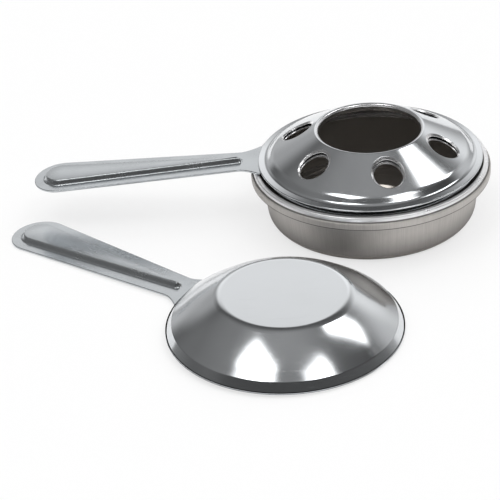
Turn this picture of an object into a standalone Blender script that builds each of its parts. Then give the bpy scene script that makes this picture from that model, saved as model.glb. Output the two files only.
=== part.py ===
"""Spirit burner of a table warmer, with its snuffer cap: a deep-drawn fuel pan, a perforated air ring
plugged into its mouth, a perforated regulator cover that turns on the ring, and a loose snuffer cap.
The cover and the cap each have the same stamped sheet handle spot-welded under their flange.

Frame: metres, +Z up, origin at the centre of the pan's base on the table. The regulator turns about Z.
"""

from math import atan2, cos, pi, radians, sin, tan

import bmesh
import bpy
from mathutils import Matrix, Vector

MM = 0.001

# ---- driving dimensions ----
SHEET = 0.8 * MM  # all the turned shells are drawn from this sheet
HANDLE_SHEET = 0.9 * MM
GAP = 0.3 * MM  # left between pieces that touch
SEGMENTS = 48  # sides of every turned shell
ARC_STEP = radians(30)  # longest stretch of a rounded corner between two points
BEND = 1.0 * MM  # radii of the bends in the sheet
TIGHT_BEND = 0.7 * MM

PAN_WALL_RADIUS = 46.5 * MM  # outside, at the height of PAN_WALL_TOP
PAN_WALL_TOP = 20.1 * MM
PAN_TAPER = radians(8)
PAN_CORNER = 6.5 * MM
RIM_TOP = 25.3 * MM
RIM_BEAD_RADIUS = 49.9 * MM  # the round top of the rim, inside its skirt
RIM_STEP = 1.85 * MM  # from the bead's top down to the ledge above the skirt
RIM_LEDGE = 0.6 * MM
RIM_RADIUS = 50.9 * MM
RIM_SKIRT_END = 20.4 * MM
FLOOR_BEAD_INNER = 21.0 * MM  # the floor is pressed up between these radii
FLOOR_BEAD_OUTER = 29.5 * MM
FLOOR_BEAD_HEIGHT = 1.5 * MM
FLOOR_BEAD_SIDE = 2.0 * MM  # run of the bead's sloping sides

FLANK_SLOPE = radians(29)  # of the cover and of the air ring
RIM_SLOPE = radians(46)  # the steeper stretch outside the flank of both
HOLE_CIRCLE = 31.9 * MM
HOLE_HEIGHT = 36.2 * MM  # the cover's outside face at the hole circle
HOLE_RADIUS = 6.1 * MM
HOLES = 6
FIRST_HOLE = radians(39.6)
COVER_MOUTH = 21.6 * MM
COVER_NECK_END = 38.0 * MM  # the mouth's neck turns in the ring's mouth
COVER_SHOULDER = 41.6 * MM  # where the flank turns steeper
COVER_SHOULDER_BEND = 8.0 * MM
COVER_FLANGE_BEND = 3.0 * MM
COVER_RADIUS = 47.7 * MM
COVER_EDGE = 27.0 * MM  # underside of the flange

RING_DROP = 2.0 * MM  # the air ring's flank lies this far under the cover's
RING_MOUTH = 22.8 * MM
RING_COLLAR_END = 22.6 * MM

CAP_RADIUS = 48.0 * MM
CAP_HEIGHT = 16.7 * MM
CAP_CROWN = 26.6 * MM  # corner between the flat top and the flank
CAP_CROWN_BEND = 8.0 * MM
CAP_UPPER_SLOPE = radians(28.2)  # the flank bulges: it is steeper below CAP_BELLY
CAP_BELLY = 36.1 * MM
CAP_BELLY_BEND = 100 * MM
CAP_LOWER_SLOPE = radians(37)
CAP_SHOULDER = 45.1 * MM
CAP_RIM_SLOPE = radians(57)
CAP_EDGE_BEND = 0.4 * MM  # where the rim turns out into its narrow edge
CAP_CENTRE = (-41.5 * MM, -90.3 * MM)
CAP_LEAN = radians(1.35)  # it lies on its far edge and on the handle's tip

HANDLE_LENGTH = 98.9 * MM  # from the weld arc to the tip
HANDLE_START = 46.2 * MM  # radius of the weld arc about the shell's axis
HANDLE_FLARE = 13.1 * MM  # half widths
HANDLE_NECK = 7.95 * MM
HANDLE_WIDEST = 12.56 * MM
NECK_AT = 9.7 * MM
WIDEST_AT = 87.1 * MM
PANEL_HEIGHT = 2.0 * MM
PANEL_WALL = 1.3 * MM  # how far the panel's side wall runs in plan
PANEL_START = 8.0 * MM
PANEL_NOSE = 2.1 * MM  # half widths of the panel's foot
PANEL_WIDEST = 8.3 * MM
PANEL_TIP_BORDER = 3.7 * MM
REGULATOR_AZIMUTH = radians(174.1)
REGULATOR_DROOP = radians(4.6)
CAP_AZIMUTH = radians(139.5)
CAP_DROOP = radians(1.9)


def clear_scene():
    for obj in list(bpy.data.objects):
        bpy.data.objects.remove(obj, do_unlink=True)


def metal(name, colour, roughness):
    material = bpy.data.materials.new(name)
    material.use_nodes = True
    shader = material.node_tree.nodes["Principled BSDF"]
    shader.inputs["Base Color"].default_value = (*colour, 1.0)
    shader.inputs["Metallic"].default_value = 1.0
    shader.inputs["Roughness"].default_value = roughness
    return material


def empty(name, location=(0, 0, 0), rotation=None):
    marker = bpy.data.objects.new(name, None)
    marker.matrix_world = Matrix.Translation(location) @ (rotation or Matrix.Identity(4))
    bpy.context.collection.objects.link(marker)
    return marker


def add_object(name, mesh, material, parent=None):
    obj = bpy.data.objects.new(name, mesh)
    bpy.context.collection.objects.link(obj)
    mesh.materials.append(material)
    obj.parent = parent
    mesh.shade_smooth()
    mesh.set_sharp_from_angle(angle=radians(35))
    return obj


# ---- turned sheet metal ----
def rounded_path(corners):
    """Points (r, z) of a path whose corners (r, z, fillet radius) are rounded."""
    points = []
    for index, (r, z, radius) in enumerate(corners):
        here = Vector((r, z))
        if radius == 0 or index in (0, len(corners) - 1):
            points.append(here)
            continue
        back = (Vector(corners[index - 1][:2]) - here).normalized()
        ahead = (Vector(corners[index + 1][:2]) - here).normalized()
        turn = pi - back.angle(ahead)
        steps = max(1, round(turn / ARC_STEP + 0.49))
        middle = here + (back + ahead).normalized() * radius / cos(turn / 2)
        start = here + back * radius * tan(turn / 2) - middle
        side = 1 if back.x * ahead.y - back.y * ahead.x < 0 else -1
        for step in range(steps + 1):
            angle = side * turn * step / steps
            points.append(middle + Matrix.Rotation(angle, 2) @ start)
    return points


def offset_path(points, distance):
    """The path moved to its right by distance, with mitred corners."""
    moved = []
    for index, point in enumerate(points):
        before = points[max(index - 1, 0)]
        after = points[min(index + 1, len(points) - 1)]
        arriving = (point - before).normalized() if index else (after - point).normalized()
        leaving = (after - point).normalized() if index < len(points) - 1 else arriving
        normal_in = Vector((arriving.y, -arriving.x))
        normal_out = Vector((leaving.y, -leaving.x))
        miter = (normal_in + normal_out).normalized()
        moved.append(point + miter * distance / miter.dot(normal_in))
    return moved


def turned_shell(name, face, back):
    """A closed shell of revolution between two paths of (r, z) points that end side by side."""
    outline = list(face) + list(reversed(back))
    on_axis = face[0].x < 1e-9
    model = bmesh.new()
    rings = []
    for point in outline:
        if point.x < 1e-9:
            rings.append([model.verts.new((0, 0, point.y))] * SEGMENTS)
            continue
        angles = [2 * pi * k / SEGMENTS for k in range(SEGMENTS)]
        rings.append([model.verts.new((point.x * cos(a), point.x * sin(a), point.y)) for a in angles])
    last = len(rings) - 1 if on_axis else len(rings)
    for index in range(last):
        lower = rings[index]
        upper = rings[(index + 1) % len(rings)]
        for k in range(SEGMENTS):
            around = (k + 1) % SEGMENTS
            corners = []
            for vertex in (lower[k], lower[around], upper[around], upper[k]):
                if vertex not in corners:
                    corners.append(vertex)
            model.faces.new(corners)
    bmesh.ops.recalc_face_normals(model, faces=model.faces)
    mesh = bpy.data.meshes.new(name)
    model.to_mesh(mesh)
    model.free()
    return mesh


def flank_height(radius):
    """Height of the cover's outside face on its straight flank."""
    return HOLE_HEIGHT - (radius - HOLE_CIRCLE) * tan(FLANK_SLOPE)


def hole_guide():
    """Upright pegs, one through the cover's and the ring's flank at each hole."""
    model = bmesh.new()
    for index in range(HOLES):
        azimuth = FIRST_HOLE + index * 2 * pi / HOLES
        place = Vector((HOLE_CIRCLE * cos(azimuth), HOLE_CIRCLE * sin(azimuth), HOLE_HEIGHT - RING_DROP))
        bmesh.ops.create_cone(
            model, cap_ends=True, segments=24, radius1=HOLE_RADIUS, radius2=HOLE_RADIUS, depth=16 * MM,
            matrix=Matrix.Translation(place),
        )
    mesh = bpy.data.meshes.new("hole_guide")
    model.to_mesh(mesh)
    model.free()
    guide = bpy.data.objects.new("hole_guide", mesh)
    bpy.context.collection.objects.link(guide)
    guide.hide_render = True
    guide.display_type = "WIRE"
    return guide


def pierce(obj, cutter):
    cut = obj.modifiers.new("holes", "BOOLEAN")
    cut.operation = "DIFFERENCE"
    cut.solver = "EXACT"
    cut.object = cutter


def fuel_pan(material):
    """The sheet's middle path is drawn first and thickened half a sheet to both sides."""
    half = SHEET / 2
    wall_at = lambda z: PAN_WALL_RADIUS - half / cos(PAN_TAPER) - (PAN_WALL_TOP - z) * tan(PAN_TAPER)
    top = RIM_TOP - half
    floor = half
    raised = half + FLOOR_BEAD_HEIGHT
    bead = RIM_BEAD_RADIUS - half
    skirt = RIM_RADIUS - half
    ledge = RIM_TOP - RIM_STEP
    middle = rounded_path([
        (0, floor, 0),
        (FLOOR_BEAD_INNER - FLOOR_BEAD_SIDE, floor, BEND),
        (FLOOR_BEAD_INNER, raised, BEND),
        (FLOOR_BEAD_OUTER, raised, BEND),
        (FLOOR_BEAD_OUTER + FLOOR_BEAD_SIDE, floor, BEND),
        (wall_at(floor), floor, PAN_CORNER - half),
        (wall_at(top), top, BEND),
        (bead, top, BEND),
        (bead, ledge, TIGHT_BEND),
        (skirt, ledge - RIM_LEDGE, TIGHT_BEND),
        (skirt, RIM_SKIRT_END, 0),
    ])
    mesh = turned_shell("fuel_pan", offset_path(middle, half), offset_path(middle, -half))
    return add_object("fuel_pan", mesh, material)


def regulator_cover(material, parent, guide):
    top = COVER_EDGE + SHEET
    corner = COVER_SHOULDER + (flank_height(COVER_SHOULDER) - top) / tan(RIM_SLOPE)
    face = rounded_path([
        (COVER_MOUTH, COVER_NECK_END, 0),
        (COVER_MOUTH, flank_height(COVER_MOUTH), BEND),
        (COVER_SHOULDER, flank_height(COVER_SHOULDER), COVER_SHOULDER_BEND),
        (corner, top, COVER_FLANGE_BEND),
        (COVER_RADIUS, top, 0),
    ])
    mesh = turned_shell("regulator_cover", face, offset_path(face, SHEET))
    cover = add_object("regulator_cover", mesh, material, parent)
    pierce(cover, guide)
    return cover


def air_ring(material, guide):
    """The ring's collar follows the pan's tapered wall, one gap inside it."""
    flank_at = lambda r: flank_height(r) - RING_DROP
    wall = PAN_WALL_RADIUS - SHEET / cos(PAN_TAPER) - GAP
    collar_at = lambda z: wall - (PAN_WALL_TOP - z) * tan(PAN_TAPER)
    shoulder = flank_at(COVER_SHOULDER)
    steep = tan(RIM_SLOPE)
    run = collar_at(shoulder) - COVER_SHOULDER
    turn = shoulder - run * steep / (1 + tan(PAN_TAPER) * steep)
    face = rounded_path([
        (RING_MOUTH, flank_at(RING_MOUTH), 0),
        (COVER_SHOULDER, shoulder, COVER_SHOULDER_BEND),
        (collar_at(turn), turn, TIGHT_BEND),
        (collar_at(RING_COLLAR_END), RING_COLLAR_END, 0),
    ])
    mesh = turned_shell("air_ring", face, offset_path(face, SHEET))
    ring = add_object("air_ring", mesh, material)
    pierce(ring, guide)
    return ring


def snuffer_cap(material, parent):
    belly = CAP_HEIGHT - (CAP_BELLY - CAP_CROWN) * tan(CAP_UPPER_SLOPE)
    shoulder = belly - (CAP_SHOULDER - CAP_BELLY) * tan(CAP_LOWER_SLOPE)
    corner = CAP_SHOULDER + (shoulder - SHEET) / tan(CAP_RIM_SLOPE)
    face = rounded_path([
        (0, CAP_HEIGHT, 0),
        (CAP_CROWN, CAP_HEIGHT, CAP_CROWN_BEND),
        (CAP_BELLY, belly, CAP_BELLY_BEND),
        (CAP_SHOULDER, shoulder, BEND),
        (corner, SHEET, CAP_EDGE_BEND),
        (CAP_RADIUS, SHEET, 0),
    ])
    mesh = turned_shell("snuffer_cap", face, offset_path(face, SHEET))
    return add_object("snuffer_cap", mesh, material, parent)


# ---- stamped handle, along +X from the shell's axis ----
def handle_half_width(s):
    if s < NECK_AT:
        return HANDLE_NECK + (HANDLE_FLARE - HANDLE_NECK) * (1 - s / NECK_AT) ** 1.6
    return HANDLE_NECK + (HANDLE_WIDEST - HANDLE_NECK) * (s - NECK_AT) / (WIDEST_AT - NECK_AT)


def panel_half_width(s):
    return PANEL_NOSE + (PANEL_WIDEST - PANEL_NOSE) * (s - PANEL_START) / (WIDEST_AT - PANEL_START)


def side_and_tip(start, half_width, end):
    """The side from start to the widest point and a quarter round to the tip at end."""
    points = []
    for k in range(12):
        s = start + (WIDEST_AT - start) * k / 12
        points.append((s, half_width(s)))
    for k in range(7):
        angle = pi / 2 * k / 6
        across = half_width(WIDEST_AT) * cos(angle) if k < 6 else 0
        points.append((WIDEST_AT + (end - WIDEST_AT) * sin(angle), across))
    return points


def mirrored(half):
    """A closed loop from its half, whose first and last points are on the centre line."""
    return half + [(s, -w) for s, w in reversed(half[1:-1])]


def plate_outline():
    """The plate starts with an arc about the shell's axis."""
    corner = atan2(HANDLE_FLARE, HANDLE_START)
    half = []
    for k in range(5):
        angle = corner * k / 4
        half.append((HANDLE_START * (cos(angle) - 1), HANDLE_START * sin(angle)))
    return mirrored(half + side_and_tip(0, handle_half_width, HANDLE_LENGTH)[1:])


def panel_outline(inset):
    """The raised panel, inset from its foot: it widens to the tip from a round nose at the neck."""
    narrowed = lambda s: panel_half_width(s) - inset
    start = PANEL_START + PANEL_NOSE
    half = []
    for k in range(4):
        angle = pi / 2 * k / 4
        half.append((start - (PANEL_NOSE - inset) * cos(angle), narrowed(start) * sin(angle)))
    return mirrored(half + side_and_tip(start, narrowed, HANDLE_LENGTH - PANEL_TIP_BORDER - inset))


def stamped_handle(name, material, parent, top, azimuth, droop):
    """Sheet plate with a pressed-up panel; its underside follows the top at one sheet's thickness."""
    model = bmesh.new()

    def loop(outline, height):
        return [model.verts.new((s, w, height)) for s, w in outline]

    under_wall = 0.4 * HANDLE_SHEET  # the panel's wall keeps its thickness on the slope
    plate_low = loop(plate_outline(), -HANDLE_SHEET)
    plate_high = loop(plate_outline(), 0)
    foot_high = loop(panel_outline(0), 0)
    top_high = loop(panel_outline(PANEL_WALL), PANEL_HEIGHT)
    foot_low = loop(panel_outline(under_wall), -HANDLE_SHEET)
    top_low = loop(panel_outline(PANEL_WALL + under_wall), PANEL_HEIGHT - HANDLE_SHEET)
    bridge(model, plate_low, plate_high)
    fill_between(model, plate_high, foot_high)
    bridge(model, foot_high, top_high)
    model.faces.new(top_high)
    fill_between(model, plate_low, foot_low)
    bridge(model, foot_low, top_low)
    model.faces.new(top_low)
    bmesh.ops.recalc_face_normals(model, faces=model.faces)
    mesh = bpy.data.meshes.new(name)
    model.to_mesh(mesh)
    model.free()
    handle = add_object(name, mesh, material, parent)
    turn = Matrix.Rotation(azimuth, 4, "Z")
    handle.matrix_local = turn @ Matrix.Translation((HANDLE_START, 0, top)) @ Matrix.Rotation(droop, 4, "Y")
    return handle


def bridge(model, first, second):
    for k in range(len(first)):
        following = (k + 1) % len(first)
        model.faces.new((first[k], first[following], second[following], second[k]))


def fill_between(model, outer, inner):
    """Fill the flat border between two loops of different length."""
    edges = []
    for loop in (outer, inner):
        for k in range(len(loop)):
            pair = (loop[k], loop[(k + 1) % len(loop)])
            edges.append(model.edges.get(pair) or model.edges.new(pair))
    bmesh.ops.triangle_fill(model, use_beauty=True, use_dissolve=False, edges=edges)


def build():
    clear_scene()
    satin = metal("satin_steel", (0.56, 0.54, 0.52), 0.38)
    polished = metal("polished_steel", (0.62, 0.63, 0.65), 0.12)
    pressed = metal("pressed_steel", (0.66, 0.67, 0.68), 0.28)
    guide = hole_guide()
    fuel_pan(satin)
    air_ring(polished, guide)
    turning = empty("regulator_axis")
    regulator_cover(polished, turning, guide)
    stamped_handle(
        "regulator_handle", pressed, turning, COVER_EDGE - GAP, REGULATOR_AZIMUTH, REGULATOR_DROOP,
    )
    lean = Matrix.Rotation(CAP_LEAN, 4, Vector((sin(CAP_AZIMUTH), -cos(CAP_AZIMUTH), 0)))
    snuffer = empty("snuffer_axis", (*CAP_CENTRE, CAP_RADIUS * sin(CAP_LEAN)), lean)
    snuffer_cap(polished, snuffer)
    stamped_handle("snuffer_handle", pressed, snuffer, -GAP, CAP_AZIMUTH, CAP_DROOP)


build()
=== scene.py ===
"""Finished look of a spirit burner and its snuffer cap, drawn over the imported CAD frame.

Every CAD node is replaced by the same piece drawn finer: turned sheets with round edges and rolled hole
lips, and handles with a softly pressed panel, all in procedural stainless steel. Lengths are in metres.
"""

from math import atan2, ceil, cos, hypot, pi, radians, sin, tan

import bpy
from mathutils import Matrix, Vector

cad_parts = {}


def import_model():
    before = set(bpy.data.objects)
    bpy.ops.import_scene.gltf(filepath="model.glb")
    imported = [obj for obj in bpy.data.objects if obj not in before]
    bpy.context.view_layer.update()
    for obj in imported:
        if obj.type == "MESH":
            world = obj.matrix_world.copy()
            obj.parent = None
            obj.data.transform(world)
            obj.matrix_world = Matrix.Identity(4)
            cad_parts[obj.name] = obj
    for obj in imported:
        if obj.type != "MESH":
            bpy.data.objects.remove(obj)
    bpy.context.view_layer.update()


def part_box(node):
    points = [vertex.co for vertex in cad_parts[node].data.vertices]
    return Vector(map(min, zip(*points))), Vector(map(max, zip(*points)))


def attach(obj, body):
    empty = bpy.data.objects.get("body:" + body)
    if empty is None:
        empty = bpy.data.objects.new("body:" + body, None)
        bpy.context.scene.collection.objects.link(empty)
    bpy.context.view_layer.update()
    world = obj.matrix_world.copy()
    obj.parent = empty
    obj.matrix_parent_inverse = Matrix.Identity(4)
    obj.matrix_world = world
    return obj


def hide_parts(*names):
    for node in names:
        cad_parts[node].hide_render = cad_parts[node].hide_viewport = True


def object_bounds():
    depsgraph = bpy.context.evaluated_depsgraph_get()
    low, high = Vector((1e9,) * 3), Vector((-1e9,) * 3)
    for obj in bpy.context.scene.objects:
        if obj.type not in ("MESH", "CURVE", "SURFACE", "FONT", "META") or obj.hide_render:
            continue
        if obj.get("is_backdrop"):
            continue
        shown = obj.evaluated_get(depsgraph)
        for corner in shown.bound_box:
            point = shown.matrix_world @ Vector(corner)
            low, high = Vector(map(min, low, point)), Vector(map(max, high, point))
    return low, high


MM = 0.001
SIDES = 240  # round each turned piece
HOLES = 6
SECTOR = SIDES // HOLES
STEP = radians(7)  # longest stretch of a bend between two points
EDGE_STEPS = 8  # along the half circle of a sheet's edge
TINY = 1e-7

SHEET = 0.8 * MM
HANDLE_SHEET = 0.9 * MM
GAP = 0.3 * MM
TAPER = radians(8)
FLANK_SLOPE = radians(29)
RIM_SLOPE = radians(46)
CAP_LEAN = radians(1.35)
CAP_AZIMUTH = radians(139.5)
CAP_DROOP = radians(1.9)
REGULATOR_AZIMUTH = radians(174.1)
REGULATOR_DROOP = radians(4.6)
FIRST_HOLE = radians(39.6)
HOLE_CIRCLE = 31.9 * MM
HOLE_RADIUS = 6.1 * MM
HOLE_HEIGHT = 36.2 * MM  # of the cover's face at the hole circle
HOLE_BAND = (24.4 * MM, 39.4 * MM)  # radii between which the flanks are built round the holes
SHOULDER = 41.6 * MM  # where the cover's and the ring's flank turns steeper
PAN_INSET = 4.4 * MM  # from the skirt in to the pan's wall
PAN_INSET_DROP = 5.2 * MM  # how far below the pan's top PAN_INSET is measured


# ---- paths and turned sheets ----
def left(direction):
    """The direction turned a quarter to the left."""
    return Vector((-direction.y, direction.x))


def turned_by(vector, angle):
    return vector * cos(angle) + left(vector) * sin(angle)


def bent_path(corners):
    """Points with left-hand normals along a path in (r, z) whose corners (r, z, radius) are rounded."""
    places = [Vector(corner[:2]) for corner in corners]
    path = [(places[0], left((places[1] - places[0]).normalized()))]
    for index in range(1, len(places) - 1):
        arriving = (places[index] - places[index - 1]).normalized()
        leaving = (places[index + 1] - places[index]).normalized()
        turn = atan2(arriving.x * leaving.y - arriving.y * leaving.x, arriving.dot(leaving))
        radius = corners[index][2]
        side = 1 if turn > 0 else -1
        start = places[index] - arriving * radius * tan(abs(turn) / 2)
        centre = start + left(arriving) * radius * side
        steps = max(2, ceil(abs(turn) / STEP))
        for step in range(steps + 1):
            normal = turned_by(left(arriving), turn * step / steps)
            path.append((centre - normal * radius * side, normal))
    path.append((places[-1], left((places[-1] - places[-2]).normalized())))
    return path


def round_edge(point, normal, along, thickness):
    """The half circle that closes a sheet's edge, from its face to its back."""
    middle = point - normal * thickness / 2
    arc = []
    for step in range(1, EDGE_STEPS):
        angle = pi * step / EDGE_STEPS
        outward = normal * cos(angle) + along * sin(angle)
        arc.append((middle + outward * thickness / 2, outward))
    return arc


def sheet_profile(face, thickness):
    """A closed profile round a sheet: face, round edge, back, and a second edge unless it is on the axis."""
    back = [(point - normal * thickness, -normal) for point, normal in face]
    end, end_normal = face[-1]
    profile = face + round_edge(end, end_normal, -left(end_normal), thickness)
    profile += list(reversed(back))
    if face[0][0].x > TINY:
        start, start_normal = back[0]
        profile += round_edge(start, start_normal, -left(start_normal), thickness)
    return profile


class Skin:
    """Points, their normals and the faces between them."""

    def __init__(self):
        self.points = []
        self.normals = []
        self.faces = []

    def add(self, point, normal):
        self.points.append(Vector(point))
        self.normals.append(Vector(normal).normalized())
        return len(self.points) - 1

    def ring(self, point, normal, start):
        """The points of one turn round the axis; on the axis they are all the same point."""
        if point.x < TINY:
            return [self.add((0, 0, point.y), (0, 0, normal.y))] * SIDES
        ring = []
        for k in range(SIDES):
            a = start + 2 * pi * k / SIDES
            ring.append(self.add((point.x * cos(a), point.x * sin(a), point.y),
                                 (normal.x * cos(a), normal.x * sin(a), normal.y)))
        return ring

    def strip(self, first, second):
        """Faces between two closed loops with the same number of points."""
        for k in range(len(first)):
            following = (k + 1) % len(first)
            corners = []
            for index in (first[k], second[k], second[following], first[following]):
                if index not in corners:
                    corners.append(index)
            if len(corners) > 2:
                self.faces.append(corners)

    def make(self, name, material, place=None):
        mesh = bpy.data.meshes.new(name)
        mesh.from_pydata(self.points, [], self.faces)
        mesh.shade_smooth()
        mesh.normals_split_custom_set_from_vertices(self.normals)
        mesh.materials.append(material)
        piece = bpy.data.objects.new(name, mesh)
        piece.matrix_world = place or Matrix.Identity(4)
        bpy.context.scene.collection.objects.link(piece)
        return piece


def turned_skin(profile, start=0.0, perforated=(), lip=0):
    """A turned sheet. perforated holds the inner and outer radius of the band that the holes are cut in.

    start is the azimuth of the first point of each ring, and lip the width of the rolled lip round each hole.
    """
    skin = Skin()
    rings = [skin.ring(point, normal, start) for point, normal in profile]
    bands = []
    count = len(profile)
    for index in range(count):
        following = (index + 1) % count
        here, there = profile[index][0], profile[following][0]
        if following == 0 and here.x < TINY:
            continue
        ends = sorted((here.x, there.x))
        if perforated and all(abs(end - edge) < TINY for end, edge in zip(ends, perforated)):
            band = [(rings[index], here), (rings[following], there)]
            bands.append(sorted(band, key=lambda edge: edge[1].x))
            continue
        skin.strip(rings[index], rings[following])
    if bands:
        pierce_band(skin, bands[0], bands[1], start, lip)
    return skin


LIP_SHARES = (0.06, 0.15, 0.3, 0.5, 0.7, 0.85, 0.94, 1.0)  # closer together where the lip bends


def pierce_band(skin, face, back, start, lip):
    """Fill a cone's band, face and back, with one fan of loops round each hole and through it."""
    across = 14  # steps over the band, between two holes
    face_loops = 8
    back_loops = 8
    edge_steps = 4
    crowding = 1.3  # draws the loops together near the hole
    (face_in, near), (face_out, far) = face
    (back_in, beneath), (back_out, _) = back
    rise = (far.y - near.y) / (far.x - near.x)
    thickness = near.y - beneath.y
    tilt = Vector((-rise, 0, 1)).normalized()

    def height(x, y):
        return near.y + (hypot(x, y) - near.x) * rise

    def upward(x, y):
        r = hypot(x, y)
        return Vector((tilt.x * x / r, tilt.x * y / r, tilt.z))

    def side(sector, depth, sign):
        """The points between two holes, from the band's inner edge to its outer one."""
        azimuth = start + 2 * pi * sector / HOLES
        line = []
        for k in range(1, across):
            r = near.x + (far.x - near.x) * k / across
            x, y = r * cos(azimuth), r * sin(azimuth)
            line.append(skin.add((x, y, height(x, y) - depth), upward(x, y) * sign))
        return line

    face_sides = [side(k, 0, 1) for k in range(HOLES)]
    back_sides = [side(k, thickness, -1) for k in range(HOLES)]

    def border(inner, outer, sides, sector):
        """The closed loop round one hole's share of the band."""
        first = sector * SECTOR
        arc = [(first + k) % SIDES for k in range(SECTOR + 1)]
        loop = [inner[k] for k in arc] + sides[(sector + 1) % HOLES]
        loop += [outer[k] for k in reversed(arc)] + list(reversed(sides[sector]))
        return loop

    low = 0.2 * MM  # rounding of the hole's lower edge
    sink = min(lip, thickness - low)
    steep = 0.15  # share of the lip at either end where its slope changes
    for sector in range(HOLES):
        azimuth = start + 2 * pi * (sector + 0.5) / HOLES
        centre = Vector((HOLE_CIRCLE * cos(azimuth), HOLE_CIRCLE * sin(azimuth)))
        outer = border(face_in, face_out, face_sides, sector)
        under = border(back_in, back_out, back_sides, sector)
        spokes = []
        for index in outer:
            flat = skin.points[index].xy
            spokes.append((flat, (flat - centre).normalized()))

        def loop(place, depth, blend):
            made = []
            for flat, outward in spokes:
                x, y = place(flat, outward)
                normal = blend(upward(x, y), Vector((*-outward, 0)))
                made.append(skin.add((x, y, height(x, y) - depth), normal))
            return made

        def between(radius, share):
            return lambda flat, outward: (centre + outward * radius).lerp(flat, share)

        loops = [outer]
        for k in range(1, face_loops + 1):
            share = (1 - k / face_loops) ** crowding
            loops.append(loop(between(HOLE_RADIUS + lip, share), 0, lambda up, inward: up))
        for share in LIP_SHARES:
            roll = atan2(sink, lip) * min(1, share / steep)
            roll += (pi / 2 - roll) * max(0, (share - (1 - steep)) / steep)
            mix = lambda up, inward, s=roll: up * cos(s) + inward * sin(s)
            loops.append(loop(between(HOLE_RADIUS + lip * (1 - share), 0), sink * share, mix))
        for k in range(edge_steps + 1):
            angle = pi / 2 * k / edge_steps
            radius = HOLE_RADIUS + low * (1 - cos(angle))
            depth = max(sink, thickness - low * (1 - sin(angle)))
            mix = lambda up, inward, s=angle: inward * cos(s) - up * sin(s)
            loops.append(loop(between(radius, 0), depth, mix))
        for k in range(1, back_loops):
            share = (k / back_loops) ** crowding
            loops.append(loop(between(HOLE_RADIUS + low, share), thickness, lambda up, inward: -up))
        loops.append(under)
        for first, second in zip(loops, loops[1:]):
            skin.strip(first, second)


# ---- the turned pieces, each from the box of its CAD node ----
def fuel_pan(material):
    """A floor with a pressed ring, a tapered wall, a rounded bead, a small ledge and the skirt outside."""
    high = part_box("fuel_pan")[1]
    rim = high.x
    top = high.z
    bead = rim - 1.0 * MM
    ledge = top - 1.85 * MM
    skirt_end = top - 4.9 * MM
    raised = SHEET + 1.5 * MM
    bend = 1.2 * MM  # of the ring pressed in the floor

    def wall(z):
        """Radius of the wall's inner face at a height."""
        return rim - PAN_INSET - SHEET / cos(TAPER) - (top - PAN_INSET_DROP - z) * tan(TAPER)

    face = bent_path([
        (0, SHEET, 0),
        (19.0 * MM, SHEET, bend),
        (21.0 * MM, raised, bend),
        (29.5 * MM, raised, bend),
        (31.5 * MM, SHEET, bend),
        (wall(SHEET), SHEET, 5.7 * MM),
        (wall(top), top, 1.5 * MM),
        (bead, top, 0.9 * MM),
        (bead, ledge, 0.35 * MM),
        (rim, ledge - 0.5 * MM, 0.5 * MM),
        (rim, skirt_end, 0),
    ])
    skin = turned_skin(sheet_profile(face, SHEET))
    return finish_piece(skin, "pan_shell", "pan", "fuel_pan", material)


def flank_height(radius, drop=0.0):
    """Height of the cover's flank, or of the air ring's, which lies drop lower."""
    return HOLE_HEIGHT - (radius - HOLE_CIRCLE) * tan(FLANK_SLOPE) - drop


def regulator_cover(material):
    """The dome from its mouth's short neck over the flank and the rim down to the flange's edge."""
    low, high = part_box("regulator_cover")
    top = low.z + SHEET
    foot = top + 0.35 * MM  # the flange slopes down a little from here
    corner = SHOULDER + (flank_height(SHOULDER) - foot) / tan(RIM_SLOPE)
    mouth = 21.6 * MM
    neck_end = 38.0 * MM + SHEET / 2
    face = bent_path([
        (mouth, neck_end, 0),
        (mouth, flank_height(mouth), 1.3 * MM),
        (SHOULDER, flank_height(SHOULDER), 8.0 * MM),
        (corner, foot, 3.0 * MM),
        (high.x - SHEET / 2, top - 0.1 * MM, 0),
    ])
    profile = with_hole_band(sheet_profile(face, SHEET))
    skin = turned_skin(profile, FIRST_HOLE - pi / HOLES, HOLE_BAND, 0.95 * MM)
    return finish_piece(skin, "cover_shell", "regulator", "regulator_cover", material)


def with_hole_band(profile):
    """A closed profile with points where the band of holes starts and ends, on its face and on its back."""
    for radius in HOLE_BAND:
        done = []
        for index, (point, normal) in enumerate(profile):
            done.append((point, normal))
            following = profile[(index + 1) % len(profile)]
            first, second = point.x, following[0].x
            straight = normal.dot(following[1]) > 0.9999 and abs(second - first) > 2 * MM
            if straight and min(first, second) < radius - TINY and radius + TINY < max(first, second):
                done.append((point.lerp(following[0], (radius - first) / (second - first)), normal))
        profile = done
    return profile


def air_ring(material):
    """The perforated ring under the cover, with a collar that plugs into the pan."""
    drop = 2.0 * MM
    low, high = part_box("air_ring")
    mouth = 22.8 * MM + SHEET / 2
    shoulder = flank_height(SHOULDER, drop)
    reach = high.x
    fall = shoulder - (reach - SHOULDER) * tan(RIM_SLOPE)
    face = bent_path([
        (mouth, flank_height(mouth, drop), 0),
        (SHOULDER, shoulder, 8.0 * MM),
        (reach, fall, 0.7 * MM),
        (reach - (fall - low.z) * tan(TAPER), low.z + SHEET / 2, 0),
    ])
    profile = with_hole_band(sheet_profile(face, SHEET))
    skin = turned_skin(profile, FIRST_HOLE - pi / HOLES, HOLE_BAND, 0.3 * MM)
    return finish_piece(skin, "ring_shell", "ring", "air_ring", material)


def snuffer_place():
    """The cap's frame: its edge lies in z = 0, and it leans on its handle's tip."""
    low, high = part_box("snuffer_cap")
    centre = (low + high) / 2
    radius = (high.x - low.x) / 2
    lean = Matrix.Rotation(CAP_LEAN, 4, Vector((sin(CAP_AZIMUTH), -cos(CAP_AZIMUTH), 0)))
    return Matrix.Translation((centre.x, centre.y, radius * sin(CAP_LEAN))) @ lean, radius


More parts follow.
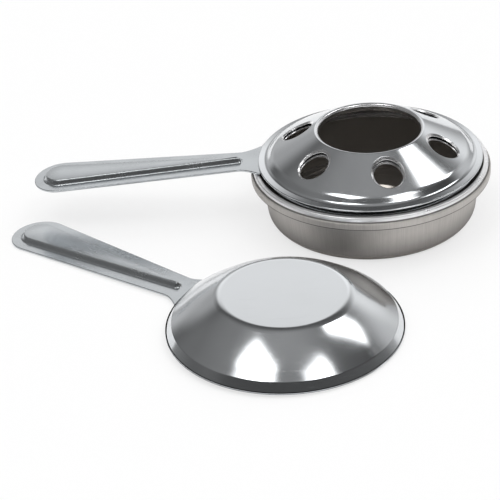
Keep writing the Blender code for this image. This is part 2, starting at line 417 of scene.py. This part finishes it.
def snuffer_cap(material):
    """A flat top, a flank that steepens towards a hard shoulder, a short rim and a narrow flange."""
    place, radius = snuffer_place()
    upper_slope, lower_slope, rim_slope = radians(28.2), radians(37), radians(57)
    top = 16.7 * MM
    crown, belly, shoulder = 26.6 * MM, 36.1 * MM, 45.1 * MM
    belly_height = top - (belly - crown) * tan(upper_slope)
    shoulder_height = belly_height - (shoulder - belly) * tan(lower_slope)
    corner = shoulder + (shoulder_height - SHEET) / tan(rim_slope)
    face = bent_path([
        (0, top, 0),
        (crown, top, 8.0 * MM),
        (belly, belly_height, 100 * MM),
        (shoulder, shoulder_height, 1.4 * MM),
        (corner, SHEET, 0.3 * MM),
        (radius - SHEET / 2, SHEET, 0),
    ])
    skin = turned_skin(sheet_profile(face, SHEET))
    return finish_piece(skin, "snuffer_shell", "snuffer", "snuffer_cap", material, place)


# ---- the stamped handles, along +X from the weld arc ----
class Handle:
    """Places along the handle, half widths, and the pressed panel's measures."""
    length = 98.9 * MM
    start = 46.2 * MM  # of the weld arc, from the turned piece's axis
    flare = 13.1 * MM
    neck = 7.95 * MM
    widest = 12.56 * MM
    neck_at = 9.7 * MM
    widest_at = 87.1 * MM
    panel_start = 8.0 * MM
    panel_nose = 2.1 * MM
    panel_widest = 8.4 * MM
    panel_end = 95.2 * MM
    panel_height = 2.0 * MM
    crown = 0.25 * MM  # the panel's top is slightly domed
    wall = 2.0 * MM  # run of the panel's wall with its two bends
    under = 0.35 * MM  # the hollow's wall stands inside the panel's
    edge = 0.3 * MM  # rounding of the plate's edge


NOSE_POINTS = 14
SIDE_POINTS = 60
TIP_POINTS = 24
TOP_LOOPS = 10
WALL_LOOPS = 12
EDGE_LOOPS = 6
QUARTERS = (0.25, 0.5, 0.75)


def half_width(s):
    """Half the plate's width at a distance from the weld arc."""
    if s < Handle.neck_at:
        return Handle.neck + (Handle.flare - Handle.neck) * (1 - s / Handle.neck_at) ** 1.6
    share = (s - Handle.neck_at) / (Handle.widest_at - Handle.neck_at)
    return Handle.neck + (Handle.widest - Handle.neck) * share


def panel_half_width(s):
    """Half the width of the panel's foot at a distance from the weld arc."""
    share = (s - Handle.panel_start) / (Handle.widest_at - Handle.panel_start)
    return Handle.panel_nose + (Handle.panel_widest - Handle.panel_nose) * share


def mirrored(half):
    """The whole outline from its half at positive y, whose ends lie on the axis."""
    return half + [Vector((point.x, -point.y)) for point in reversed(half[1:-1])]


def side_and_tip(start, width_at, end):
    """A straight side from start to the widest place, and a quarter ellipse to the tip at end."""
    points = []
    for k in range(SIDE_POINTS):
        s = start + (Handle.widest_at - start) * k / SIDE_POINTS
        points.append(Vector((s, width_at(s))))
    for k in range(TIP_POINTS + 1):
        angle = pi / 2 * k / TIP_POINTS
        across = width_at(Handle.widest_at) * cos(angle) if k < TIP_POINTS else 0
        points.append(Vector((Handle.widest_at + (end - Handle.widest_at) * sin(angle), across)))
    return points


def plate_outline():
    """The plate's outline, with the weld arc at its foot."""
    corner = atan2(Handle.flare, Handle.start)
    half = []
    for k in range(NOSE_POINTS):
        angle = corner * k / NOSE_POINTS
        half.append(Vector((Handle.start * (cos(angle) - 1), Handle.start * sin(angle))))
    side = side_and_tip(0, half_width, Handle.length)
    side[0] = Vector((Handle.start * (cos(corner) - 1), Handle.start * sin(corner)))
    return mirrored(half + side)


def panel_outline():
    """The foot of the pressed panel, with as many points as the plate's outline."""
    nose = Handle.panel_nose
    start = Handle.panel_start + nose
    half = []
    for k in range(NOSE_POINTS):
        angle = pi / 2 * k / NOSE_POINTS
        half.append(Vector((start - nose * cos(angle), panel_half_width(start) * sin(angle))))
    return mirrored(half + side_and_tip(start, panel_half_width, Handle.panel_end))


def outward_normals(outline):
    """The direction away from the inside at each point of a closed outline."""
    normals = []
    for k, point in enumerate(outline):
        before = outline[k - 1]
        after = outline[(k + 1) % len(outline)]
        along = ((point - before).normalized() + (after - point).normalized()).normalized()
        normals.append(left(along))
    return normals


def inset(points, outs, distance):
    return [point - out * distance for point, out in zip(points, outs)]


def panel_rise(share):
    """Height and slope of the pressed wall, at a share of its run: a smooth step."""
    smooth = share * share * (3 - 2 * share)
    slope = 6 * share * (1 - share) * Handle.panel_height / Handle.wall
    return Handle.panel_height * smooth, atan2(slope, 1)


def handle_skin():
    """The handle as a chain of loops: panel, wall, plate and edge, then under the plate into the hollow."""
    outline = plate_outline()
    foot = panel_outline()
    outline_out = outward_normals(outline)
    foot_out = outward_normals(foot)
    end_gap = 1.0 * MM
    spine_start = Handle.panel_start + Handle.panel_nose + end_gap
    spine_end = Handle.widest_at - end_gap
    spine = [Vector((min(max(point.x, spine_start), spine_end), 0)) for point in foot]
    shoulder = inset(foot, foot_out, Handle.wall)
    hollow_foot = inset(foot, foot_out, Handle.under)
    hollow_top = inset(foot, foot_out, Handle.under + Handle.wall)
    plate_edge = inset(outline, outline_out, Handle.edge)
    half_panel = 6 * MM  # typical half width of the panel's top, for its dome's slope
    skin = Skin()
    loops = []

    def add_loop(points, outs, height, tilt):
        across, upward = sin(tilt), cos(tilt)
        loops.append([skin.add((point.x, point.y, height), (out.x * across, out.y * across, upward))
                      for point, out in zip(points, outs)])

    def between(first, second, share):
        return [a.lerp(b, share) for a, b in zip(first, second)]

    for k in range(1, TOP_LOOPS + 1):
        share = k / TOP_LOOPS
        height = Handle.panel_height + Handle.crown * (1 - share ** 2)
        tilt = atan2(Handle.crown * 2 * share, half_panel)
        add_loop(between(spine, shoulder, share), foot_out, height, tilt)
    for k in range(1, WALL_LOOPS + 1):
        share = 1 - k / WALL_LOOPS
        height, tilt = panel_rise(share)
        add_loop(inset(foot, foot_out, Handle.wall * share), foot_out, height, tilt)
    for share in QUARTERS:
        add_loop(between(foot, plate_edge, share), foot_out, 0, 0)
    for k in range(EDGE_LOOPS + 1):
        tilt = pi / 2 * k / EDGE_LOOPS
        points = inset(outline, outline_out, Handle.edge * (1 - sin(tilt)))
        add_loop(points, outline_out, Handle.edge * (cos(tilt) - 1), tilt)
    for k in range(EDGE_LOOPS + 1):
        tilt = pi / 2 * (1 + k / EDGE_LOOPS)
        points = inset(outline, outline_out, Handle.edge * (1 - sin(tilt)))
        add_loop(points, outline_out, Handle.edge * (1 + cos(tilt)) - HANDLE_SHEET, tilt)
    for share in reversed(QUARTERS):
        add_loop(between(hollow_foot, plate_edge, share), foot_out, -HANDLE_SHEET, pi)
    for k in range(WALL_LOOPS + 1):
        share = k / WALL_LOOPS
        height, tilt = panel_rise(share)
        points = inset(foot, foot_out, Handle.under + Handle.wall * share)
        add_loop(points, foot_out, height - HANDLE_SHEET, pi + tilt)
    for share in reversed(QUARTERS):
        add_loop(between(spine, hollow_top, share), foot_out, Handle.panel_height - HANDLE_SHEET, pi)
    upper = spine_line(skin, spine, Handle.panel_height + Handle.crown, 1)
    lower = spine_line(skin, spine, Handle.panel_height - HANDLE_SHEET, -1)
    chain = [upper] + loops + [lower]
    for first, second in zip(chain, chain[1:]):
        skin.strip(second, first)
    return skin


def stamped_handle(name, body, node, material, parent_place, top, azimuth, droop):
    """A handle welded under a flange: its face starts at height top in the parent's frame, and droops."""
    turn = Matrix.Rotation(azimuth, 4, "Z") @ Matrix.Translation((Handle.start, 0, top))
    place = parent_place @ turn @ Matrix.Rotation(droop, 4, "Y")
    return finish_piece(handle_skin(), name, body, node, material, place)


def spine_line(skin, spine, height, facing):
    """The line that both halves of the panel's loops close on; mirrored points share one vertex."""
    made = {}
    line = []
    for point in spine:
        key = round(point.x / MM, 4)
        if key not in made:
            made[key] = skin.add((point.x, 0, height), (0, 0, facing))
        line.append(made[key])
    return line


def finish_piece(skin, name, body, node, material, place=None):
    """Make the piece, fix it to its body and hide the CAD node that it stands in for."""
    piece = skin.make(name, material, place)
    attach(piece, body)
    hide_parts(node)
    return piece


# ---- materials ----
def join(tree, value, socket):
    """Set a socket to a number, or link it to another node's output."""
    if isinstance(value, (int, float)):
        socket.default_value = value
    else:
        tree.links.new(value, socket)


def math_node(tree, operation, *values):
    node = tree.nodes.new("ShaderNodeMath")
    node.operation = operation
    for socket, value in zip(node.inputs, values):
        join(tree, value, socket)
    return node.outputs[0]


class Shader:
    """A Principled steel whose node tree is filled in by short calls."""

    def __init__(self, name, colour, roughness):
        self.material = bpy.data.materials.new(name)
        self.material.use_nodes = True
        self.tree = self.material.node_tree
        self.steel = self.tree.nodes["Principled BSDF"]
        self.steel.inputs["Metallic"].default_value = 1.0
        self.steel.inputs["Base Color"].default_value = (*colour, 1)
        self.steel.inputs["Roughness"].default_value = roughness
        self.place = self.tree.nodes.new("ShaderNodeTexCoord").outputs["Object"]
        split = self.tree.nodes.new("ShaderNodeSeparateXYZ")
        self.join(self.place, split.inputs[0])
        self.x, self.y, self.z = split.outputs

    def join(self, value, socket):
        join(self.tree, value, socket)

    def math(self, operation, *values):
        return math_node(self.tree, operation, *values)

    def add(self, first, second):
        return self.math("ADD", first, second)

    def subtract(self, first, second):
        return self.math("SUBTRACT", first, second)

    def multiply(self, first, second):
        return self.math("MULTIPLY", first, second)

    def vector(self, *values):
        node = self.tree.nodes.new("ShaderNodeCombineXYZ")
        for socket, value in zip(node.inputs, values):
            self.join(value, socket)
        return node.outputs[0]

    def noise(self, where, scale, detail=3.0, rough=0.55, warp=0.0):
        node = self.tree.nodes.new("ShaderNodeTexNoise")
        node.inputs["Scale"].default_value = scale
        node.inputs["Detail"].default_value = detail
        node.inputs["Roughness"].default_value = rough
        node.inputs["Distortion"].default_value = warp
        self.join(where, node.inputs["Vector"])
        return node.outputs["Fac"]

    def remap(self, value, low, high, new_low, new_high):
        """A smooth step from new_low to new_high as the value goes from low to high."""
        node = self.tree.nodes.new("ShaderNodeMapRange")
        node.interpolation_type = "SMOOTHSTEP"
        limits = {"From Min": low, "From Max": high, "To Min": new_low, "To Max": new_high}
        for name, number in limits.items():
            node.inputs[name].default_value = number
        self.join(value, node.inputs["Value"])
        return node.outputs["Result"]

    def mix(self, value, first, second):
        """Between two colours, each given as numbers or by a node."""
        node = self.tree.nodes.new("ShaderNodeMix")
        node.data_type = "RGBA"
        self.join(value, node.inputs["Factor"])
        for name, colour in (("A", first), ("B", second)):
            if isinstance(colour, tuple):
                node.inputs[name].default_value = (*colour, 1)
            else:
                self.join(colour, node.inputs[name])
        return node.outputs["Result"]

    def colour(self, value):
        self.join(value, self.steel.inputs["Base Color"])

    def roughness(self, value):
        self.join(value, self.steel.inputs["Roughness"])

    def bump(self, height, distance):
        node = self.tree.nodes.new("ShaderNodeBump")
        node.inputs["Distance"].default_value = distance
        node.inputs["Strength"].default_value = 1.0
        self.join(height, node.inputs["Height"])
        self.join(node.outputs["Normal"], self.steel.inputs["Normal"])

    def length(self, first, second):
        return self.math("SQRT", self.add(self.multiply(first, first), self.multiply(second, second)))

    def around(self):
        """Cosine and sine of the azimuth, and the distance from the axis."""
        distance = self.length(self.x, self.y)
        safe = self.math("MAXIMUM", distance, 0.5 * MM)
        return self.math("DIVIDE", self.x, safe), self.math("DIVIDE", self.y, safe), distance

    def stretched(self, c, s, spread, along):
        """A place for noise that is drawn out round the axis; a small spread gives long marks."""
        return self.vector(self.multiply(c, spread), self.multiply(s, spread), along)


def hairlines(shader, turn, seed):
    """Sparse straight scratches in one direction."""
    node = shader.tree.nodes.new("ShaderNodeMapping")
    node.inputs["Rotation"].default_value = (0, 0, turn)
    node.inputs["Scale"].default_value = (1, 46, 30)
    node.inputs["Location"].default_value = (seed, seed * 0.7, 0)
    shader.join(shader.place, node.inputs["Vector"])
    lines = shader.noise(node.outputs[0], 42, 2.0, 0.5)
    return shader.remap(lines, 0.66, 0.74, 0.0, 1.0)


def polished_steel(name, pierced=False):
    """Buffed on a lathe: faint rings round the axis, cloudy wiping marks and a few hairlines.

    On the pierced shells the lips of the holes and of the mouth are duller from deburring, and painted paler
    as a painted highlight along their edges.
    """
    shader = Shader(name, (0.69, 0.71, 0.73), 0.1)
    c, s, distance = shader.around()
    slant = shader.subtract(distance, shader.z)
    rings = shader.noise(shader.stretched(c, s, 0.012, slant), 3200, 3.0, 0.6)
    clouds = shader.noise(shader.place, 34, 4.0, 0.6, 0.4)
    scratches = shader.math("MAXIMUM", hairlines(shader, 0.6, 3.1), hairlines(shader, 2.1, 7.7))
    rough = shader.add(shader.remap(clouds, 0.3, 0.75, 0.075, 0.135), shader.multiply(rings, 0.05))
    rough = shader.add(rough, shader.multiply(scratches, 0.08))
    steel = shader.mix(clouds, (0.655, 0.675, 0.695), (0.725, 0.745, 0.765))
    if pierced:
        lips = ground_and_highlit_lips(shader, c, s, distance)
        rough = shader.add(rough, shader.multiply(lips, 0.13))
        # painted highlight: the lips are coloured nearly white for the bright rims round the holes and the
        # mouth; their extra roughness is the deburred finish
        steel = shader.mix(lips, steel, (0.95, 0.95, 0.96))
    shader.roughness(rough)
    shader.colour(steel)
    waves = shader.noise(shader.place, 22, 1.0, 0.4)
    marks = shader.add(waves, shader.multiply(scratches, -0.02))
    shader.bump(shader.add(shader.multiply(rings, 0.012), marks), 0.00006)
    return shader.material


def ground_and_highlit_lips(shader, c, s, distance):
    """1 on the lips of the holes and of the mouth, 0 elsewhere; every hole is folded onto the first."""
    azimuth = shader.subtract(shader.math("ARCTAN2", s, c), FIRST_HOLE)
    folded = shader.math("WRAP", azimuth, pi / HOLES, -pi / HOLES)
    ahead = shader.subtract(shader.multiply(distance, shader.math("COSINE", folded)), HOLE_CIRCLE)
    across = shader.multiply(distance, shader.math("SINE", folded))
    reach = shader.length(ahead, across)
    hole = shader.remap(reach, HOLE_RADIUS + 0.7 * MM, HOLE_RADIUS + 1.0 * MM, 1.0, 0.0)
    mouth = shader.remap(distance, 22.3 * MM, 22.7 * MM, 1.0, 0.0)
    return shader.math("MAXIMUM", hole, mouth)


def satin_steel():
    """The pan: dull drawn steel with a buffed rim and a dark inside, painted darker towards its foot as
    shade.

    The buffed rim is smoother and painted pale, a painted reflection of the bright table along the bead. The
    inside is painted dark for the shade within the pan, with a warm heat tint. The throat just inside the rim
    is painted nearly black, a painted shade that keeps the gap under the cover's flange dark, and painted
    dark lines of shade follow the creases above and below the skirt.
    """
    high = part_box("fuel_pan")[1]
    shader = Shader("satin_stainless", (0.5, 0.48, 0.46), 0.5)
    shader.steel.inputs["Metallic"].default_value = 0.8
    c, s, distance = shader.around()
    along = shader.add(distance, shader.z)
    rings = shader.noise(shader.stretched(c, s, 0.01, along), 2600, 4.0, 0.65)
    draws = shader.noise(shader.stretched(c, s, 0.12, shader.multiply(along, 0.05)), 900, 3.0, 0.6)
    clouds = shader.noise(shader.place, 48, 4.0, 0.6, 0.3)

    outer = shader.remap(distance, high.x - 3.1 * MM, high.x - 2.6 * MM, 0.0, 1.0)
    above = shader.remap(shader.z, high.z - 1.75 * MM, high.z - 1.55 * MM, 0.0, 1.0)
    buffed_and_sheen = shader.multiply(outer, above)
    throat = shader.multiply(shader.subtract(1.0, outer), above)
    cone = shader.subtract(distance, shader.multiply(shader.z, tan(TAPER)))
    sheet_middle = high.x - PAN_INSET - SHEET / 2 - (high.z - PAN_INSET_DROP) * tan(TAPER)
    inside = shader.remap(cone, sheet_middle - 0.2 * MM, sheet_middle + 0.2 * MM, 1.0, 0.0)
    floor_inside = shader.multiply(inside, shader.remap(shader.z, 3.0 * MM, 5.0 * MM, 1.0, 0.0))

    blotches = shader.add(shader.multiply(clouds, 0.6), shader.multiply(draws, 0.4))
    streaks = shader.remap(blotches, 0.3, 0.7, 0.0, 1.0)
    body = shader.mix(streaks, (0.46, 0.44, 0.42), (0.60, 0.575, 0.55))
    # painted shade: the wall is coloured darker towards the bottom, and darkest at the foot, for the shade
    # near the table
    lower_wall = shader.remap(shader.z, 2.0 * MM, 15.0 * MM, 0.68, 0.0)
    body = shader.mix(lower_wall, body, (0.17, 0.16, 0.155))
    foot = shader.remap(shader.z, 0.5 * MM, 4.0 * MM, 0.7, 0.0)
    body = shader.mix(foot, body, (0.09, 0.085, 0.08))
    # painted shade: the inside is coloured dark for the shade within the pan, and warm for a heat tint
    body = shader.mix(inside, body, (0.33, 0.305, 0.28))
    # painted shade: the throat inside the rim is coloured nearly black, so the gap under the cover's flange
    # looks dark
    body = shader.mix(throat, body, (0.035, 0.033, 0.03))
    # painted shade: dark lines along the creases above and below the skirt, where shade falls
    for crease in (high.z - 1.9 * MM, high.z - 5.0 * MM):
        off = shader.math("ABSOLUTE", shader.subtract(shader.z, crease))
        crease_shade = shader.remap(off, 0.12 * MM, 0.32 * MM, 0.75, 0.0)
        body = shader.mix(shader.multiply(crease_shade, shader.subtract(1.0, inside)), body, (0.05, 0.05, 0.05))
    # painted reflection: the buffed rim is coloured pale for the bright table it mirrors along the bead; its
    # lower roughness is its polish
    shader.colour(shader.mix(buffed_and_sheen, body, (0.84, 0.84, 0.85)))

    rough = shader.add(shader.remap(clouds, 0.3, 0.75, 0.48, 0.58), shader.multiply(rings, 0.08))
    rough = shader.subtract(rough, shader.multiply(buffed_and_sheen, 0.26))
    shader.roughness(shader.subtract(rough, shader.multiply(floor_inside, 0.4)))
    shader.bump(shader.add(shader.multiply(rings, 0.25), shader.multiply(draws, 0.5)), 0.00002)
    return shader.material


def pressed_steel():
    """The handles: fine satin grain along their length, and dull patches from use."""
    shader = Shader("pressed_stainless", (0.58, 0.605, 0.625), 0.26)
    lengthwise = shader.vector(shader.multiply(shader.x, 0.03), shader.y, shader.z)
    grain = shader.noise(lengthwise, 4200, 3.0, 0.6)
    clouds = shader.noise(shader.place, 60, 4.0, 0.6, 0.4)
    scratches = hairlines(shader, 0.15, 1.3)
    rough = shader.add(shader.remap(clouds, 0.3, 0.75, 0.20, 0.26), shader.multiply(grain, 0.05))
    shader.roughness(shader.add(rough, shader.multiply(scratches, 0.03)))
    shader.colour(shader.mix(clouds, (0.545, 0.57, 0.59), (0.615, 0.64, 0.66)))
    shader.bump(shader.add(shader.multiply(grain, 0.3), shader.multiply(scratches, -0.1)), 0.000004)
    return shader.material


# ---- camera, floor and light ----
def camera():
    """A long lens from the front, 30 degrees above the table, rolled a little."""
    elevation = radians(30.43)
    roll = radians(3.69)
    distance = 1.0
    aim = Vector((-53.43, -27.34, 1.1)) * MM
    right = Vector((1, 0, 0))
    up = Vector((0, sin(elevation), cos(elevation)))
    back = Vector((0, -cos(elevation), sin(elevation)))
    axis_x = cos(roll) * right - sin(roll) * up
    axis_y = sin(roll) * right + cos(roll) * up
    place = Matrix((axis_x, axis_y, back)).transposed().to_4x4()
    place.translation = aim + back * distance
    lens = bpy.data.cameras.new("camera")
    lens.sensor_width = 36
    lens.lens = 171.46
    eye = bpy.data.objects.new("camera", lens)
    eye.matrix_world = place
    bpy.context.scene.collection.objects.link(eye)
    bpy.context.scene.camera = eye


def floor():
    """A matt white table. The camera sees it paler than it is, so that shadows stay faint."""
    half = 3.0
    camera_glow = 0.72  # share of the plain glow in what the camera sees
    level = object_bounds()[0].z
    corners = [(-half, -half, level), (half, -half, level), (half, half, level), (-half, half, level)]
    mesh = bpy.data.meshes.new("floor")
    mesh.from_pydata(corners, [], [(0, 1, 2, 3)])
    material = bpy.data.materials.new("white_table")
    material.use_nodes = True
    tree = material.node_tree
    paint = tree.nodes["Principled BSDF"]
    paint.inputs["Base Color"].default_value = (0.78, 0.78, 0.78, 1)
    paint.inputs["Roughness"].default_value = 0.9
    paint.inputs["Specular IOR Level"].default_value = 0.2
    glow = tree.nodes.new("ShaderNodeEmission")
    glow.inputs["Color"].default_value = (0.98, 0.98, 0.98, 1)
    seen = tree.nodes.new("ShaderNodeLightPath").outputs["Is Camera Ray"]
    lit = tree.nodes.new("ShaderNodeMixShader")
    tree.links.new(math_node(tree, "MULTIPLY", seen, camera_glow), lit.inputs[0])
    tree.links.new(paint.outputs[0], lit.inputs[1])
    tree.links.new(glow.outputs[0], lit.inputs[2])
    tree.links.new(lit.outputs[0], tree.nodes["Material Output"].inputs["Surface"])
    mesh.materials.append(material)
    table = bpy.data.objects.new("floor", mesh)
    bpy.context.scene.collection.objects.link(table)
    table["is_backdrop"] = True


def overhead_light():
    """Wide soft daylight for the matt surfaces; the steel doesn't mirror it, only the world."""
    lamp = bpy.data.lights.new("overhead", "SUN")
    lamp.energy = 2.6
    lamp.angle = radians(120)
    light = bpy.data.objects.new("overhead", lamp)
    light.visible_glossy = False
    bpy.context.scene.collection.objects.link(light)


# brightness of the room by the height of a direction, from straight down (-1) to straight up (1)
ROOM = ((-1.0, 0.78), (-0.02, 0.78), (0.01, 0.25), (0.25, 0.12), (0.6, 0.06), (0.85, 0.13), (1.0, 0.34))

# patches of light: azimuth (0 is +X, 90 is behind), elevation, half width, half height, softness, strength
SOFTBOXES = (
    (90, 29, 0.24, 0.17, 0.10, 0.70),
    (88, 25, 0.80, 0.18, 0.18, 0.34),
    (48, 20, 0.50, 0.28, 0.22, 0.55),
    (112, 7, 0.30, 0.12, 0.12, 0.35),
    (165, 45, 0.60, 0.40, 0.30, 0.13),
    (-90, 8, 1.60, 0.22, 0.12, 0.75),
    (212, 69, 0.20, 0.13, 0.05, 3.6),
    (-42, 60, 0.17, 0.14, 0.05, 3.6),
    (27, 51, 0.10, 0.20, 0.04, 3.6),
)


def patch_mask(tree, direction, azimuth, elevation, half_width, half_height, softness):
    """1 inside a soft-edged rectangle on the sky, whose half sizes are tangents of angles."""
    a, e = radians(azimuth), radians(elevation)

    def along(vector):
        node = tree.nodes.new("ShaderNodeVectorMath")
        node.operation = "DOT_PRODUCT"
        tree.links.new(direction, node.inputs[0])
        node.inputs[1].default_value = vector
        return node.outputs["Value"]

    ahead = along((cos(a) * cos(e), sin(a) * cos(e), sin(e)))
    depth = math_node(tree, "MAXIMUM", ahead, 0.05)

    def inside(offset, half_size):
        node = tree.nodes.new("ShaderNodeMapRange")
        node.interpolation_type = "SMOOTHSTEP"
        node.inputs["From Min"].default_value = half_size + softness
        node.inputs["From Max"].default_value = half_size - softness
        share = math_node(tree, "ABSOLUTE", math_node(tree, "DIVIDE", offset, depth))
        tree.links.new(share, node.inputs["Value"])
        return node.outputs["Result"]

    across = inside(along((-sin(a), cos(a), 0)), half_width)
    upward = inside(along((-cos(a) * sin(e), -sin(a) * sin(e), cos(e))), half_height)
    in_front = math_node(tree, "GREATER_THAN", ahead, 0.05)
    return math_node(tree, "MULTIPLY", math_node(tree, "MULTIPLY", across, upward), in_front)


def world():
    """A dim room with patches of light, which the steel mirrors; the camera sees a plain pale background."""
    scene_world = bpy.data.worlds.new("studio")
    scene_world.use_nodes = True
    bpy.context.scene.world = scene_world
    tree = scene_world.node_tree
    tree.nodes.clear()
    new = tree.nodes.new
    link = tree.links.new
    direction = new("ShaderNodeTexCoord").outputs["Generated"]
    split = new("ShaderNodeSeparateXYZ")
    link(direction, split.inputs[0])
    ramp = new("ShaderNodeValToRGB")
    ramp.color_ramp.interpolation = "LINEAR"
    while len(ramp.color_ramp.elements) < len(ROOM):
        ramp.color_ramp.elements.new(0.5)
    for element, (height, value) in zip(ramp.color_ramp.elements, ROOM):
        element.position = (height + 1) / 2
        element.color = (value, value, value, 1)
    link(math_node(tree, "MULTIPLY_ADD", split.outputs["Z"], 0.5, 0.5), ramp.inputs["Fac"])
    total = ramp.outputs["Color"]
    for *box, strength in SOFTBOXES:
        total = math_node(tree, "MULTIPLY_ADD", patch_mask(tree, direction, *box), strength, total)
    room = new("ShaderNodeBackground")
    link(total, room.inputs["Color"])
    plain = new("ShaderNodeBackground")
    plain.inputs["Color"].default_value = (0.96, 0.96, 0.96, 1)
    seen = new("ShaderNodeMixShader")
    link(new("ShaderNodeLightPath").outputs["Is Camera Ray"], seen.inputs["Fac"])
    link(room.outputs[0], seen.inputs[1])
    link(plain.outputs[0], seen.inputs[2])
    link(seen.outputs[0], new("ShaderNodeOutputWorld").inputs["Surface"])
    bpy.context.scene.view_settings.view_transform = "Standard"


# ---- everything ----
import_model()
camera()
polished = polished_steel("polished_stainless")
pierced = polished_steel("pierced_stainless", True)
satin = satin_steel()
pressed = pressed_steel()
fuel_pan(satin)
air_ring(pierced)
regulator_cover(pierced)
snuffer_cap(polished)
stamped_handle("regulator_grip", "regulator", "regulator_handle", pressed, Matrix.Identity(4),
               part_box("regulator_cover")[0].z - GAP, REGULATOR_AZIMUTH, REGULATOR_DROOP)
stamped_handle("snuffer_grip", "snuffer", "snuffer_handle", pressed, snuffer_place()[0],
               -GAP, CAP_AZIMUTH, CAP_DROOP)
floor()
overhead_light()
world()
